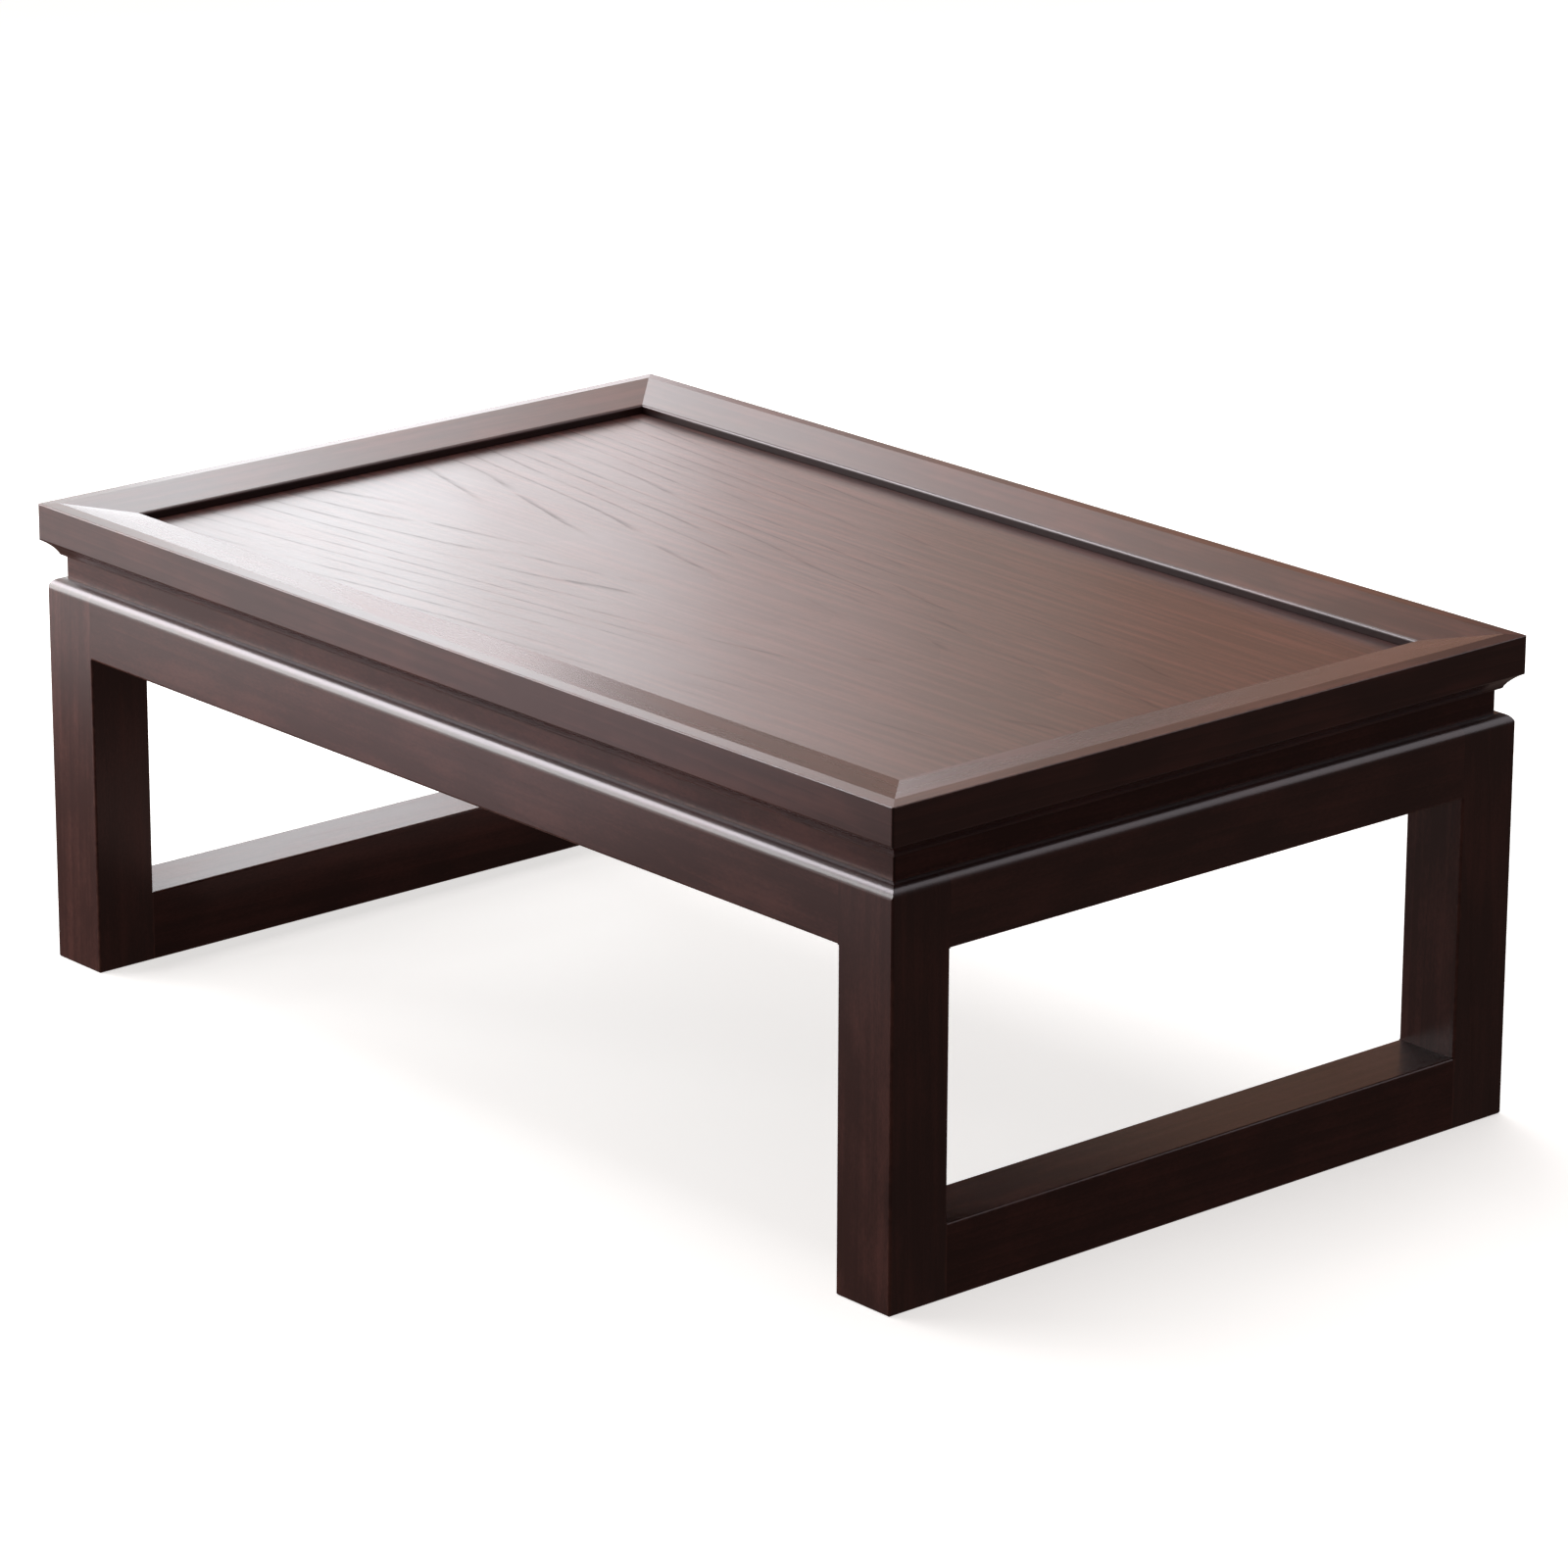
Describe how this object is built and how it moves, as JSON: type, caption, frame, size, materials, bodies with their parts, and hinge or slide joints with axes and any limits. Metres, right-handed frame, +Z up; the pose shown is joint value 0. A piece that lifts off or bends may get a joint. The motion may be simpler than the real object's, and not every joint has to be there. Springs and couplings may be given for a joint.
{
  "type": "low tea table",
  "caption": "Low rectangular tea table of dark wood: a sunken panel in a mitred frame, set-back waist, rounded aprons, square legs and a floor runner across each end.",
  "frame": {"origin": "on the floor under the middle of the table", "axes": "+X along the table's length, +Y towards its back, +Z up"},
  "size_m": [0.8, 0.5, 0.3],
  "materials": {
    "frame_wood": "dark stain under satin lacquer",
    "panel_wood": "dark stain under satin lacquer",
    "waist_wood": "dark stain under satin lacquer",
    "apron_wood": "dark stain under satin lacquer",
    "leg_wood": "dark stain under satin lacquer",
    "runner_wood": "dark stain under satin lacquer",
    "inner_wood": "planed, thin stain",
    "screw_steel": "zinc plated"
  },
  "bodies": {
    "root": {"frame_rail_front": "frame_wood", "frame_rail_back": "frame_wood", "frame_rail_left": "frame_wood", "frame_rail_right": "frame_wood", "top_panel": "panel_wood", "waist_front": "waist_wood", "waist_back": "waist_wood", "waist_left": "waist_wood", "waist_right": "waist_wood", "apron_front": "apron_wood", "apron_back": "apron_wood", "apron_left": "apron_wood", "apron_right": "apron_wood", "leg_front_left": "leg_wood", "leg_front_right": "leg_wood", "leg_back_left": "leg_wood", "leg_back_right": "leg_wood", "runner_left": "runner_wood", "runner_right": "runner_wood", "mitre_tenon_front_left": "inner_wood", "mitre_tenon_front_right": "inner_wood", "mitre_tenon_back_left": "inner_wood", "mitre_tenon_back_right": "inner_wood", "panel_batten_1": "inner_wood", "panel_batten_2": "inner_wood", "panel_batten_3": "inner_wood", "fixing_block_front_left": "inner_wood", "fixing_block_front_right": "inner_wood", "fixing_block_back_left": "inner_wood", "fixing_block_back_right": "inner_wood", "fixing_block_left": "inner_wood", "fixing_block_right": "inner_wood", "block_side_screws": "screw_steel", "block_top_screws": "screw_steel"}
  },
  "joints": []
}
